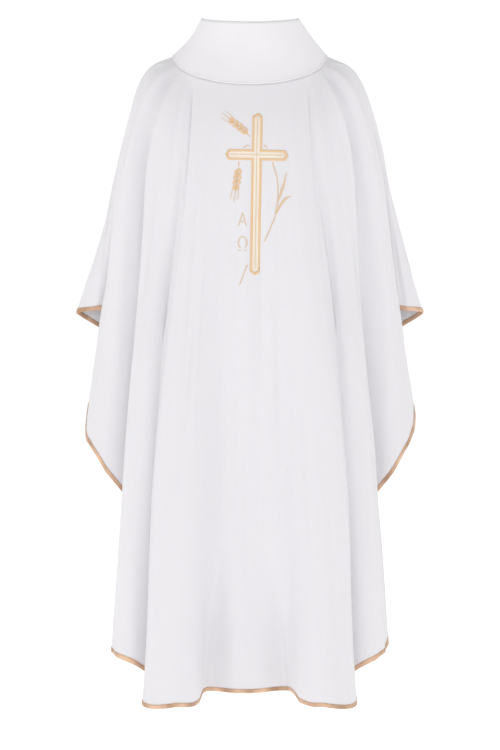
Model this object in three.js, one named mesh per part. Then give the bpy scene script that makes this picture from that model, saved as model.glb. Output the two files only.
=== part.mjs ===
// Gothic chasuble with a funnel collar, as worn: the cloth falls from the shoulders in a
// cascade of folds. Millimetres. X is side to side, the front faces -Y, Z is up. Z = 0 is the
// side of the neck seam, where the weight of the garment rests on the shoulders.
import * as THREE from "three";

// Cloth
const PANEL_T = 1.6; // woven cloth with its lining
const BIND_T = 0.8; // satin binding
const BIND_W = 7; // width of binding seen on each face
const GAP = 0.3; // clearance between sewn layers
const SEAM_T = 1.2; // pressed seam allowance

// Overall sizes
const FRONT_DROP = 1226; // neck side down to the hem at the centre front
const HEM_X = 201; // half width of the centre panel at the hem
const MID_X = 255; // half width over the second folds
const MID_DROP = 1136;
const WING_X = 319; // half width over the third folds
const WING_DROP = 717;
const CUFF_X = 335; // half the span over the cuff points
const CUFF_DROP = 500;
const BODY_DEPTH = 1; // share of the drawn depth of the folds

// Neck and collar
const NECK_X = 149; // half width of the neck seam
const NECK_FRONT = 118;
const NECK_BACK = 98;
const NECK_DIP = 65; // drop of the seam at the centre front
const NAPE_DIP = 6; // drop of the seam at the centre back
const COLLAR_TOP_X = 93;
const COLLAR_TOP_Y = 84;
const COLLAR_H = 74; // height of the top edge over the side of the neck
const COLLAR_DIP = 16; // dip of the top edge at the centre front
const COLLAR_T = 1.4; // each cloth layer
const CORE_T = 1.0; // stiff layer between them

// Embroidery on the chest, measured from the crossing of the cross
const CROSS_X = 13; // the crossing stands a little off the centre line
const CROSS_DROP = 203;
const CROSS_TILT = 1.05; // degrees, top to the right
const CROSS_UP = 81;
const CROSS_DOWN = 224;
const CROSS_ARM = 60;
const UPRIGHT_W = 20;
const BAR_W = 21;
const BORDER_W = 4.2;
const POINT = 5; // how far the arms run out to their points
const THREAD_T = 0.8; // height of the raised thread
const THREAD_GAP = 0.6; // clearance over the cloth
const STEM_W = 2.2;
const EAR_W = 15;
const LETTER_W = 17;
const LETTER_H = 27;
const LETTER_STROKE = 1.9;

// Mesh fineness
const U_STEPS = 2; // strips of cloth between one fold line and the next
const V_STEPS = 12; // rows from the neck to the binding
const MIN_SQUARE = 0.35; // least squareness of the edge to a fold that the binding follows
const COLLAR_SIDES = 40;
const COLLAR_ROWS = 3;

// Where each fold line leaves the neck seam, in degrees from the centre.
const NECK_ANGLES = [0, 13, 27, 44, 49, 56, 63, 67, 72, 76, 80, 85, 90];

// The fold lines from the centre out to the shoulder line, each as points [across, proud of the
// shoulder plane, down] below the neck seam. Lines 3, 6 and 9 are the edges of the three steps.
const FOLDS = [
  [[0, 158, 165], [0, 190, 400], [0, 186, 800], [0, 160, FRONT_DROP]],
  [[36, 156, 165], [46, 190, 400], [56, 192, 800], [76, 184, FRONT_DROP]],
  [[74, 150, 165], [88, 196, 400], [108, 226, 800], [142, 248, FRONT_DROP + 18]],
  [[111, 136, 165], [129, 176, 400], [160, 204, 720], [HEM_X, 216, FRONT_DROP + 20]],
  [[119, 130, 165], [134, 152, 400], [158, 160, 720], [188, 158, FRONT_DROP - 21]],
  [[146, 118, 155], [176, 146, 395], [210, 166, 720], [235, 170, MID_DROP + 26]],
  [[165, 92, 104], [188, 104, 200], [203, 124, 385], [231, 140, 750], [MID_X, 140, MID_DROP]],
  [[176, 78, 98], [192, 84, 200], [196, 88, 385], [206, 92, 620], [214, 94, WING_DROP + 188]],
  [[186, 66, 70], [216, 74, 150], [246, 84, 350], [265, 90, 590], [284, 92, WING_DROP + 78]],
  [[190, 44, 34], [213, 56, 84], [252, 56, 222], [285, 50, 495], [WING_X, 44, WING_DROP]],
  [[191, 30, 28], [215, 38, 72], [244, 28, 190], [264, 19, 380], [272, 14, CUFF_DROP + 45]],
  [[192, 16, 24], [216, 20, 62], [247, 19, 172], [278, 20, 340], [302, 22, CUFF_DROP - 3]],
  [[191, 0, 21], [214, 0, 54], [238, 0, 143], [265, 0, 257], [316, 0, 444], [CUFF_X, 0, CUFF_DROP]],
];
const LAST = FOLDS.length - 1;
const CUFF_BACK = 30; // how far behind the neck the cuff point hangs
const BACK_SHARE = 0.9; // depth of the back folds against the front ones
const BACK_NARROW = 0.03; // how much nearer the middle the back folds lie
const BACK_CUFF = 26; // how much lower the back edge of the cuff hangs

const rad = THREE.MathUtils.degToRad;
const point = (x, y, z) => new THREE.Vector3(x, y, z);
const mirrored = (p) => point(-p.x, p.y, p.z);

// A point of the neck seam, by its angle round from the centre front.
function neckPoint(angle) {
  const front = Math.cos(angle);
  const reach = front > 0 ? NECK_FRONT : NECK_BACK;
  const dip = front > 0 ? NECK_DIP : NAPE_DIP;
  return point(NECK_X * Math.sin(angle), -reach * front, -dip * Math.abs(front));
}

// One fold line of the right-hand side, from the neck seam to the edge.
function foldLine(i, back) {
  const angle = rad(NECK_ANGLES[i]);
  const points = [neckPoint(back ? Math.PI - angle : angle)];
  const narrow = back ? 1 - BACK_NARROW * (1 - i / LAST) : 1;
  const last = FOLDS[i].length - 1;
  FOLDS[i].forEach(([x, proud, down], k) => {
    const plane = CUFF_BACK * Math.min(1, down / CUFF_DROP);
    const depth = back ? BACK_SHARE * proud : -proud;
    const low = back && k === last && i === LAST - 1 ? BACK_CUFF : 0;
    points.push(point(x * narrow, plane + depth * BODY_DEPTH, -down - low));
  });
  return new THREE.CatmullRomCurve3(points, false, "centripetal");
}

// The fold lines all the way round, from the left shoulder across the front to the right one
// and back behind. Each line knows which side it lies on and how far from the edge its last
// plain row stops.
function aroundLines() {
  const lines = [];
  const add = (i, back, side) => lines.push({ curve: foldLine(i, back), side, margin: 0 });
  for (let i = LAST; i > 0; i--) add(i, false, -1);
  for (let i = 0; i < LAST; i++) add(i, false, 1);
  for (let i = LAST; i > 0; i--) add(i, true, 1);
  for (let i = 0; i < LAST; i++) add(i, true, -1);
  return lines;
}

const LINES = aroundLines();

function pointOn(line, share) {
  const p = line.curve.getPointAt(share * (1 - line.margin / line.curve.getLength()));
  return line.side < 0 ? mirrored(p) : p;
}

const loop = (share) =>
  new THREE.CatmullRomCurve3(LINES.map((line) => pointOn(line, share)), true, "centripetal");

const COLUMNS = LINES.length * U_STEPS; // columns of the whole loop
const ROWS = V_STEPS + 1; // the last row is the edge
const grid = [];
const normals = [];
const slants = []; // how much further a width reaches along the folds at each edge column
const at = (j, k) => grid[j][(k + COLUMNS) % COLUMNS];
const outward = (j, k) => normals[j][(k + COLUMNS) % COLUMNS];

function rowPoints(share) {
  const curve = loop(share);
  const row = [];
  for (let k = 0; k < COLUMNS; k++) row.push(curve.getPoint(k / COLUMNS));
  return row;
}

// The facing of the cloth at column k of a row, and how squarely the row crosses the way up.
function facing(row, k, up) {
  const n = row.length;
  const before = row[k].clone().sub(row[(k + n - 1) % n]);
  const after = row[(k + 1) % n].clone().sub(row[k]);
  let square = 0;
  const across = point(0, 0, 0);
  for (const side of [before, after]) {
    const length = side.length();
    side.addScaledVector(up, -side.dot(up));
    square += side.length() / length / 2;
    across.add(side.normalize());
  }
  return { out: across.cross(up).normalize(), square };
}

// Rows down to a little above the edge, then one a binding's width from the edge, then the
// edge. Where the edge runs slanting, these last rows stand further apart along the folds.
function makeGrid() {
  const edge = rowPoints(1);
  LINES.forEach((line, i) => {
    const up = pointOn(line, 0.97).sub(pointOn(line, 1)).normalize();
    const { square } = facing(edge, (i * U_STEPS) % COLUMNS, up);
    line.margin = (1.6 * BIND_W) / Math.max(MIN_SQUARE, square);
  });
  for (let j = 0; j < V_STEPS; j++) grid.push(rowPoints(Math.pow(j / (V_STEPS - 1), 1.1)));
  grid.push([], edge);
  for (let j = 0; j < V_STEPS; j++) {
    const above = grid[Math.max(j - 1, 0)];
    const below = grid[j + 1 < V_STEPS ? j + 1 : ROWS];
    const ups = above.map((p, k) => p.clone().sub(below[k]).normalize());
    normals.push(ups.map((up, k) => facing(grid[j], k, up).out));
  }
  const edgeNormals = edge.map((p, k) => {
    const up = at(V_STEPS - 1, k).clone().sub(p).normalize();
    const { out, square } = facing(edge, k, up);
    slants.push(1 / Math.max(MIN_SQUARE, square));
    grid[V_STEPS].push(p.clone().addScaledVector(up, BIND_W * slants[k]));
    return out;
  });
  normals.push(edgeNormals, edgeNormals);
}

makeGrid();

const group = new THREE.Group();
const CLOTH = 0xebe8ec;
const GOLD = 0xdeb28c;
const THREAD = 0xf0dcc4;
const CORE = 0xf4f4f0;

function addMesh(name, vertices, faces, color) {
  const geometry = new THREE.BufferGeometry();
  const flat = vertices.flatMap((p) => [p.x, p.y, p.z]);
  geometry.setAttribute("position", new THREE.Float32BufferAttribute(flat, 3));
  geometry.setIndex(faces.flat());
  geometry.computeVertexNormals();
  const material = new THREE.MeshStandardMaterial({ color, roughness: 0.7 });
  const mesh = new THREE.Mesh(geometry, material);
  mesh.name = name;
  group.add(mesh);
}

// A closed body swept through equal closed sections. A ring joins its last section to its
// first; any other body is closed with the cap triangles. Sides that run up the cloth are
// split the other way, so that the faces of two layers lie parallel.
function sweep(name, sections, cap, color, up) {
  const n = sections[0].length;
  const count = cap ? sections.length - 1 : sections.length;
  const faces = [];
  for (let s = 0; s < count; s++) {
    const here = s * n;
    const next = ((s + 1) % sections.length) * n;
    for (let i = 0; i < n; i++) {
      const k = (i + 1) % n;
      if (up ? up.includes(i) : i >= n / 2) {
        faces.push([here + i, here + k, next + i]);
        faces.push([here + k, next + k, next + i]);
      } else {
        faces.push([here + i, next + k, next + i]);
        faces.push([here + i, here + k, next + k]);
      }
    }
  }
  if (cap) {
    const end = count * n;
    for (const [a, b, c] of cap) {
      faces.push([c, b, a]);
      faces.push([end + a, end + b, end + c]);
    }
  }
  addMesh(name, sections.flat(), faces, color);
}

// Cap triangles of a section that goes down one face and back up the other.
function ladderCap(n) {
  const faces = [];
  for (let a = 0; a < n / 2 - 1; a++) {
    const b = n - 1 - a;
    faces.push([a, a + 1, b]);
    faces.push([a + 1, b - 1, b]);
  }
  return faces;
}

// One column of a cloth layer as a section, between two distances from the middle of the cloth.
function clothSection(k, first, last, outer, inner) {
  const section = [];
  for (let j = first; j <= last; j++) {
    section.push(at(j, k).clone().addScaledVector(outward(j, k), outer));
  }
  for (let j = last; j >= first; j--) {
    section.push(at(j, k).clone().addScaledVector(outward(j, k), inner));
  }
  return section;
}

// The columns from start to end, with the two end ones drawn in by half the clearance.
function columnSections(start, end, make) {
  const sections = [];
  for (let k = start; k <= end; k++) sections.push(make(k));
  const drawIn = (section, k, step) => {
    const way = at(V_STEPS, k + step).clone().sub(at(V_STEPS, k)).normalize();
    section.forEach((p) => p.addScaledVector(way, GAP / 2));
  };
  drawIn(sections[0], start, 1);
  drawIn(sections[sections.length - 1], end, -1);
  return sections;
}

const HALF = COLUMNS / 2;

function clothPanel(name, start, end) {
  const make = (k) => clothSection(k, 0, ROWS, PANEL_T / 2, -PANEL_T / 2);
  sweep(name, columnSections(start, end, make), ladderCap(2 * ROWS + 2), CLOTH);
}

clothPanel("front_panel", 0, HALF);
clothPanel("back_panel", HALF, COLUMNS);

// The binding folds over the edge of the cloth, with one leg on each face.
const LIP = PANEL_T / 2 + GAP;
const BIND_CAP = [[0, 1, 6], [0, 6, 7], [1, 2, 5], [1, 5, 6], [2, 3, 4], [2, 4, 5]];

function bindingSection(k) {
  const down = at(ROWS, k).clone().sub(at(V_STEPS, k)).normalize();
  down.multiplyScalar(slants[k % COLUMNS]);
  const place = (j, side, drop) => {
    const p = at(j, k).clone().addScaledVector(outward(j, k), side);
    return p.addScaledVector(down, drop);
  };
  const full = LIP + BIND_T;
  return [
    place(V_STEPS, full, 0),
    place(ROWS, full, GAP + BIND_T),
    place(ROWS, -full, GAP + BIND_T),
    place(V_STEPS, -full, 0),
    place(V_STEPS, -LIP, 0),
    place(ROWS, -LIP, GAP),
    place(ROWS, LIP, GAP),
    place(V_STEPS, LIP, 0),
  ];
}

function hemBinding(name, start, end) {
  sweep(name, columnSections(start, end, bindingSection), BIND_CAP, GOLD, [2, 5, 6]);
}

hemBinding("hem_binding_front", 0, HALF);
hemBinding("hem_binding_back", HALF, COLUMNS);

// The shoulder seam allowances, pressed flat under the cloth along each shoulder line.
function shoulderSeam(name, k) {
  const top = -PANEL_T / 2 - GAP;
  const make = (c) => clothSection(c, 1, V_STEPS - 1, top, top - SEAM_T);
  sweep(name, columnSections(k - 1, k + 1, make), ladderCap(2 * V_STEPS - 2), CLOTH);
}

shoulderSeam("shoulder_seam_left", 0);
shoulderSeam("shoulder_seam_right", HALF);

// The facing under the neck edge.
function neckFacing() {
  const top = -PANEL_T / 2 - GAP;
  const sections = [];
  for (let k = 0; k < COLUMNS; k++) sections.push(clothSection(k, 0, 1, top, top - SEAM_T));
  for (const section of sections) {
    const up = section[0].clone().sub(section[1]).normalize();
    section[1].addScaledVector(up, 2);
    section[2].addScaledVector(up, 2);
  }
  sweep("neck_facing", sections, null, CLOTH);
}

neckFacing();

// The collar: a funnel of two cloth layers round a stiff one, joined along the top fold.
function collarPoint(angle, rise) {
  const foot = neckPoint(angle);
  const front = Math.cos(angle);
  const dip = front > 0 ? COLLAR_DIP * front : 0;
  const top = point(COLLAR_TOP_X * Math.sin(angle), -COLLAR_TOP_Y * front, COLLAR_H - dip);
  const p = foot.clone().lerp(top, rise);
  const belly = 1 - 0.03 * Math.sin(Math.PI * rise);
  return point(p.x * belly, p.y * belly, p.z);
}

const COLLAR_RISE = 0.012; // share of the collar that stands clear of the neck seam

function collarLayer(name, outer, thickness, top, color) {
  const sections = [];
  for (let s = 0; s < COLLAR_SIDES; s++) {
    const angle = (2 * Math.PI * s) / COLLAR_SIDES;
    const outerRun = [];
    const innerRun = [];
    for (let r = 0; r <= COLLAR_ROWS; r++) {
      const rise = COLLAR_RISE + ((top - COLLAR_RISE) * r) / COLLAR_ROWS;
      const here = collarPoint(angle, rise);
      const along = collarPoint(angle + 0.02, rise).sub(collarPoint(angle - 0.02, rise));
      const up = collarPoint(angle, rise + 0.02).sub(collarPoint(angle, rise - 0.02));
      const out = along.cross(up).normalize();
      outerRun.push(here.clone().addScaledVector(out, outer));
      innerRun.push(here.clone().addScaledVector(out, outer - thickness));
    }
    sections.push([...outerRun.reverse(), ...innerRun]);
  }
  sweep(name, sections, null, color);
}

const CORE_OUT = CORE_T / 2;
collarLayer("collar_outer", CORE_OUT + GAP + COLLAR_T, COLLAR_T, 1, CLOTH);
collarLayer("collar_interfacing", CORE_OUT, CORE_T, 0.99, CORE);
collarLayer("collar_inner", -CORE_OUT - GAP, COLLAR_T, 1, CLOTH);

// The front of the cloth over a point of the chest, on the faces of the front panel itself.
function clothFront(x, z) {
  const middle = HALF / 2;
  const reach = 5 * U_STEPS;
  const face = (j, k) => at(j, k).clone().addScaledVector(outward(j, k), PANEL_T / 2);
  let y = Infinity;
  for (let j = 0; j < V_STEPS / 2; j++) {
    for (let k = middle - reach; k < middle + reach; k++) {
      const corners = [face(j, k), face(j + 1, k + 1), face(j, k + 1), face(j + 1, k)];
      for (const c of [corners[2], corners[3]]) {
        const [a, b] = corners;
        const area = (b.x - a.x) * (c.z - a.z) - (c.x - a.x) * (b.z - a.z);
        const s = ((x - a.x) * (c.z - a.z) - (c.x - a.x) * (z - a.z)) / area;
        const t = ((b.x - a.x) * (z - a.z) - (x - a.x) * (b.z - a.z)) / area;
        if (s < 0 || t < 0 || s + t > 1) continue;
        y = Math.min(y, a.y + s * (b.y - a.y) + t * (c.y - a.y));
      }
    }
  }
  return y;
}

const flat = (x, y) => new THREE.Vector2(x, y);

// An outline with its long sides split, so that the plate can follow the cloth.
function split(outline) {
  const points = [];
  outline.forEach((p, i) => {
    const q = outline[(i + 1) % outline.length];
    const n = Math.ceil(p.distanceTo(q) / 14);
    for (let s = 0; s < n; s++) points.push(p.clone().lerp(q, s / n));
  });
  return points;
}

// Swaps long shared sides for shorter ones, so that every triangle is small enough to bend.
function evenOut(points, triangles) {
  const area = (a, b, c) =>
    points[b].clone().sub(points[a]).cross(points[c].clone().sub(points[a]));
  for (let swapped = true; swapped; ) {
    swapped = false;
    const sides = new Map();
    triangles.forEach((t, n) => {
      t.forEach((a, i) => sides.set(a * points.length + t[(i + 1) % 3], [n, t[(i + 2) % 3]]));
    });
    const used = new Set();
    for (const [side, [m, c]] of sides) {
      const a = Math.floor(side / points.length);
      const b = side % points.length;
      const [n, d] = sides.get(b * points.length + a) || [m, c];
      if (n === m || used.has(m) || used.has(n)) continue;
      const shorter = points[c].distanceTo(points[d]) < points[a].distanceTo(points[b]) - 0.01;
      if (!shorter || area(a, d, c) < 0.05 || area(d, b, c) < 0.05) continue;
      triangles[m] = [a, d, c];
      triangles[n] = [d, b, c];
      used.add(m).add(n);
      swapped = true;
    }
  }
  return triangles;
}

// A thin plate of thread in the given outline, bent over the cloth a distance off it.
function threadPlate(name, outline, holes, tilt, off, color) {
  const rims = [outline, ...holes].map(split);
  rims.forEach((rim, i) => {
    if (THREE.ShapeUtils.isClockWise(rim) === (i === 0)) rim.reverse();
  });
  const all = rims.flat();
  const lean = rad(tilt);
  const place = (p, lift) => {
    const x = CROSS_X + p.x * Math.cos(lean) + p.y * Math.sin(lean);
    const z = -CROSS_DROP - p.x * Math.sin(lean) + p.y * Math.cos(lean);
    return point(x, clothFront(x, z) - lift, z);
  };
  const vertices = [...all.map((p) => place(p, off)), ...all.map((p) => place(p, off + THREAD_T))];
  const faces = [];
  const top = all.length;
  const plain = THREE.ShapeUtils.triangulateShape(rims[0], rims.slice(1));
  for (const [a, b, c] of evenOut(all, plain)) {
    faces.push([a, c, b], [top + a, top + b, top + c]);
  }
  let first = 0;
  for (const rim of rims) {
    for (let i = 0; i < rim.length; i++) {
      const a = first + i;
      const b = first + ((i + 1) % rim.length);
      faces.push([a, b, top + b], [a, top + b, top + a]);
    }
    first += rim.length;
  }
  addMesh(name, vertices, faces, color);
}

// The outline of a line of thread through points of [across, up, width].
function strand(points) {
  const left = [];
  const right = [];
  points.forEach(([x, y, width], i) => {
    const [x0, y0] = points[Math.max(i - 1, 0)];
    const [x1, y1] = points[Math.min(i + 1, points.length - 1)];
    const side = flat(y0 - y1, x1 - x0).setLength(width / 2);
    left.push(flat(x, y).add(side));
    right.unshift(flat(x, y).sub(side));
  });
  return [...left, ...right];
}

// The outline of the cross, drawn in by an inset. Each arm runs out to a shallow point.
function crossOutline(inset) {
  const w = UPRIGHT_W / 2 - inset;
  const h = BAR_W / 2 - inset;
  const top = CROSS_UP - POINT - inset;
  const foot = -CROSS_DOWN + inset;
  const arm = CROSS_ARM - POINT - inset;
  const outline = [
    [w, h], [arm, h], [arm + POINT, 0], [arm, -h], [w, -h], [w, foot], [0, foot - POINT],
    [-w, foot], [-w, -h], [-arm, -h], [-arm - POINT, 0], [-arm, h], [-w, h], [-w, top],
    [w * 0.2, top + POINT], [w, top],
  ];
  return outline.map(([x, y]) => flat(x, y));
}

function crossLine(width, margin) {
  const w = width / 2;
  const arm = CROSS_ARM - margin;
  const outline = [
    [w, w], [arm, w], [arm, -w], [w, -w], [w, margin - CROSS_DOWN], [-w, margin - CROSS_DOWN],
    [-w, -w], [-arm, -w], [-arm, w], [-w, w], [-w, CROSS_UP - margin], [w, CROSS_UP - margin],
  ];
  return outline.map(([x, y]) => flat(x, y));
}

// An ear of wheat with its grains down both sides and three awns, from its foot at [x, y].
function ear(x, y, angle, length, awn) {
  const w = EAR_W / 2;
  const grains = 4;
  const side = [[0.08, 0]];
  for (let i = 0; i < grains; i++) {
    const swell = 0.75 + 0.25 * Math.sin((Math.PI * (i + 0.7)) / grains);
    side.push([0.5 * swell, (i + 0.1) / grains], [swell, (i + 0.75) / grains]);
  }
  const run = side.map(([a, b]) => flat(a * w, b * length));
  run.push(flat(0.55 * w, length + awn * 0.8), flat(0.2 * w, length), flat(0, length + awn));
  const back = run.slice(0, -1).reverse();
  const outline = [...run, ...back.map((p) => flat(-p.x, p.y))];
  return outline.map((p) => p.rotateAround(flat(0, 0), rad(angle)).add(flat(x, y)));
}

const letterAt = (x, y, points) => points.map(([a, b]) => flat(x + a, y + b));

// A plain letter A: its outline and the gap over its bar.
function alpha(x, y) {
  const w = LETTER_W / 2;
  const t = LETTER_STROKE * 1.15;
  const bar = LETTER_H * 0.3;
  const slope = w / LETTER_H;
  const outer = [
    [-w, 0], [t - w, 0], [t - w + slope * bar, bar], [w - t - slope * bar, bar], [w - t, 0],
    [w, 0], [t / 3, LETTER_H], [-t / 3, LETTER_H],
  ];
  const low = bar + LETTER_STROKE;
  const inner = w - t - slope * low;
  return [letterAt(x, y, outer), letterAt(x, y, [[-inner, low], [inner, low], [0, LETTER_H - 4]])];
}

// A plain capital omega as one strand from foot to foot.
function omega(x, y) {
  const points = [[-LETTER_W / 2, 1], [-LETTER_W * 0.18, 1]];
  for (let a = -60; a <= 240; a += 30) {
    const turn = rad(180 - a);
    points.push([LETTER_W * 0.46 * Math.cos(turn), LETTER_H * (0.57 + 0.43 * Math.sin(turn))]);
  }
  points.push([LETTER_W * 0.18, 1], [LETTER_W / 2, 1]);
  return strand(points.map(([a, b]) => [x + a, y + b, LETTER_STROKE]));
}

const CREAM = 0xf3e6d6;
const onCloth = (name, outline, holes) =>
  threadPlate(name, outline, holes, 0, THREAD_GAP, THREAD);
const stem = (name, points) => onCloth(name, strand(points.map(([x, y]) => [x, y, STEM_W])), []);

const inside = crossOutline(BORDER_W + GAP);
threadPlate("cross_border", crossOutline(0), [crossOutline(BORDER_W)], CROSS_TILT, THREAD_GAP, GOLD);
threadPlate("cross_fill", inside, [], CROSS_TILT, THREAD_GAP, CREAM);
const OVER_FILL = THREAD_GAP + THREAD_T + GAP;
threadPlate("cross_centre_line", crossLine(1.6, 9), [], CROSS_TILT, OVER_FILL, THREAD);
onCloth("wheat_ear_upper", ear(-17, 41, 51, 46, 18), []);
onCloth("wheat_ear_lower", ear(-34.5, -25, 172, 44, 22), []);
stem("stem_ear_upper", [[-18, 39.5], [-12, 34.5]]);
stem("stem_ear_lower", [[-34, -12.5], [-34.2, -23.5]]);
stem("stem_arc_left", [[-26, 13.5], [-19, 17.5], [-12, 17]]);
stem("stem_arc_right", [[13.5, 19], [19, 12.6]]);
const STALK = [[29, -12.5], [33, -25], [38.6, -46], [40, -72], [39, -92], [35.6, -113]];
stem("stalk_right", [...STALK, [29, -132], [14, -166]]);
stem("stalk_foot", [[-18, -209], [-33, -248]]);
onCloth("leaf_upper", strand([[43, -82, 0.8], [46.5, -70, 5], [52.5, -52, 4], [56.5, -34, 0.6]]), []);
onCloth("leaf_lower", strand([[40, -108, 0.8], [46, -94, 5], [55, -83.5, 4.6], [66, -78, 0.6]]), []);
const [alphaRim, alphaHole] = alpha(-27, -136.5);
onCloth("letter_alpha", alphaRim, [alphaHole]);
onCloth("letter_omega", omega(-27, -183), []);

export default group;
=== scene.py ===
import math
import bmesh
import bpy
import numpy as np
from mathutils import Matrix, Vector, noise
from mathutils.bvhtree import BVHTree


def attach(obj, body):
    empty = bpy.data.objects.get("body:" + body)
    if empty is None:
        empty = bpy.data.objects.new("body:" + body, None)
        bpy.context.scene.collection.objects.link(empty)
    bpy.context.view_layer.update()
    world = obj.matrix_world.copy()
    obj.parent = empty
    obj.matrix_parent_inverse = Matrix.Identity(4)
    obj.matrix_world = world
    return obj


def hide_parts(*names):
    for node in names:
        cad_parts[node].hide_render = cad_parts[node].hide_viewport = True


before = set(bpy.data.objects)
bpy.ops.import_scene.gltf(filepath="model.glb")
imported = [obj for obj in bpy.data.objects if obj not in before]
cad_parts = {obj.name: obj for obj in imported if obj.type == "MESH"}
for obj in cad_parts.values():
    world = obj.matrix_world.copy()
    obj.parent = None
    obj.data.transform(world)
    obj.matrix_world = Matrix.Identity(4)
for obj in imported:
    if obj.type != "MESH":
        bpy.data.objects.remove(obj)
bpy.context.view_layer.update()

MM = 0.001

# ---------------------------------------------------------------- sizes of the garment, in mm
PANEL_T = 1.6  # woven cloth with its lining
BIND_T = 0.7  # satin binding
BIND_W = 6.5  # width of binding seen on each face
FRONT_DROP = 1226  # neck side down to the hem at the centre front
HEM_X = 201  # half width of the centre panel at the hem
MID_X = 255  # half width over the second folds
MID_DROP = 1136
WING_X = 319  # half width over the third folds
WING_DROP = 717
CUFF_X = 335  # half the span over the cuff points
CUFF_DROP = 500
CUFF_BACK = 30  # how far behind the neck the cuff point hangs
BACK_SHARE = 0.9  # depth of the back folds against the front ones
BACK_NARROW = 0.03  # how much nearer the middle the back folds lie
BACK_CUFF = 26  # how much lower the back edge of the cuff hangs
NECK_X = 149  # half width of the neck seam
NECK_FRONT = 118
NECK_BACK = 98
NECK_DIP = 65  # drop of the seam at the centre front
NAPE_DIP = 6  # drop of the seam at the centre back
COLLAR_TOP_X = 93
COLLAR_TOP_Y = 84
COLLAR_H = 74  # height of the top edge over the side of the neck
COLLAR_DIP = 16  # dip of the top edge at the centre front
MIN_SQUARE = 0.35  # least squareness of the edge to a fold that the binding follows
PATTERN_NECK = 170  # radius at the neck of the fan that a panel unrolls to

# Where each fold line leaves the neck seam, in degrees from the centre front.
NECK_ANGLES = [0, 13, 27, 44, 49, 56, 63, 67, 72, 76, 80, 85, 90]

# Fold lines from the centre out to the shoulder line: across, proud of the shoulder plane, down.
FOLDS = [
    [(0, 158, 165), (0, 190, 400), (0, 186, 800), (0, 160, FRONT_DROP)],
    [(36, 156, 165), (46, 190, 400), (56, 192, 800), (76, 184, FRONT_DROP)],
    [(74, 150, 165), (88, 196, 400), (108, 226, 800), (142, 248, FRONT_DROP + 18)],
    [(111, 136, 165), (129, 176, 400), (160, 204, 720), (HEM_X, 216, FRONT_DROP + 20)],
    [(119, 130, 165), (134, 152, 400), (158, 160, 720), (188, 158, FRONT_DROP - 21)],
    [(146, 118, 155), (176, 146, 395), (210, 166, 720), (235, 170, MID_DROP + 26)],
    [(165, 92, 104), (188, 104, 200), (203, 124, 385), (231, 140, 750), (MID_X, 140, MID_DROP)],
    [(176, 78, 98), (192, 84, 200), (196, 88, 385), (206, 92, 620), (214, 94, WING_DROP + 188)],
    [(186, 66, 70), (216, 74, 150), (246, 84, 350), (265, 90, 590), (284, 92, WING_DROP + 78)],
    [(190, 44, 34), (213, 56, 84), (252, 56, 222), (285, 50, 495), (WING_X, 44, WING_DROP)],
    [(191, 30, 28), (215, 38, 72), (244, 28, 190), (264, 19, 380), (272, 14, CUFF_DROP + 45)],
    [(192, 16, 24), (216, 20, 62), (247, 19, 172), (278, 20, 340), (302, 22, CUFF_DROP - 3)],
    [(191, 0, 21), (214, 0, 54), (238, 0, 143), (265, 0, 257), (316, 0, 444), (CUFF_X, 0, CUFF_DROP)],
]
LAST = len(FOLDS) - 1
PER_SPAN = 8  # columns of cloth between one fold line and the next
ROWS = 150  # rows from the neck to the binding
EDGE_ROWS = 4  # rows under the binding
LINE_STEPS = 30  # steps between two points of a fold line
ROW_CROWDING = 1.05  # over 1, the rows lie closer near the neck


# ---------------------------------------------------------------- curves
def root_gap(a, b):
    """The root of the distance between points, which keeps a smooth curve from looping."""
    return np.sqrt(np.linalg.norm(b - a, axis=-1, keepdims=True)) + 1e-9


def spans(points, closed):
    """The tangents that carry a smooth curve through points, stacked on the first axis."""
    if closed:
        before, after = np.roll(points, 1, 0), np.roll(points, -1, 0)
        beyond = np.roll(points, -2, 0)
        start = points
    else:
        first = 2 * points[:1] - points[1:2]
        last = 2 * points[-1:] - points[-2:-1]
        padded = np.concatenate([first, points, last])
        before, start, after, beyond = padded[:-3], padded[1:-2], padded[2:-1], padded[3:]
    d0, d1, d2 = root_gap(before, start), root_gap(start, after), root_gap(after, beyond)
    leave = (start - before) / d0 - (after - before) / (d0 + d1) + (after - start) / d1
    arrive = (after - start) / d1 - (beyond - start) / (d1 + d2) + (beyond - after) / d2
    return start, after, leave * d1, arrive * d1


def smooth_through(points, steps, closed=False):
    """Points along a smooth curve through the given ones, with so many steps between each two."""
    start, end, leave, arrive = spans(np.asarray(points, float), closed)
    out = []
    for k in range(len(start)):
        for s in range(steps):
            t = s / steps
            out.append(
                start[k] * (2 * t**3 - 3 * t**2 + 1)
                + leave[k] * (t**3 - 2 * t**2 + t)
                + end[k] * (3 * t**2 - 2 * t**3)
                + arrive[k] * (t**3 - t**2)
            )
    if not closed:
        out.append(end[-1])
    return np.array(out)


def run_of(path):
    """The distance along a path to each of its points."""
    return np.concatenate([[0], np.cumsum(np.linalg.norm(np.diff(path, axis=0), axis=1))])


def read_at(at, run, values):
    """Values in three directions, read off at distances along a run."""
    return np.stack([np.interp(at, run, values[:, c]) for c in range(3)], axis=-1)


def along(path, shares):
    """Points of a path at shares of its length."""
    run = run_of(path)
    return read_at(np.asarray(shares) * run[-1], run, path)


def unit(v):
    """Vectors drawn out or in to a length of 1."""
    return v / (np.linalg.norm(v, axis=-1, keepdims=True) + 1e-12)


# ---------------------------------------------------------------- the hang of the cloth
def neck_point(angle):
    """A point of the neck seam, by its angle from the centre front."""
    front = math.cos(angle)
    reach = NECK_FRONT if front > 0 else NECK_BACK
    dip = NECK_DIP if front > 0 else NAPE_DIP
    return np.array([NECK_X * math.sin(angle), -reach * front, -dip * abs(front)])


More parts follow.
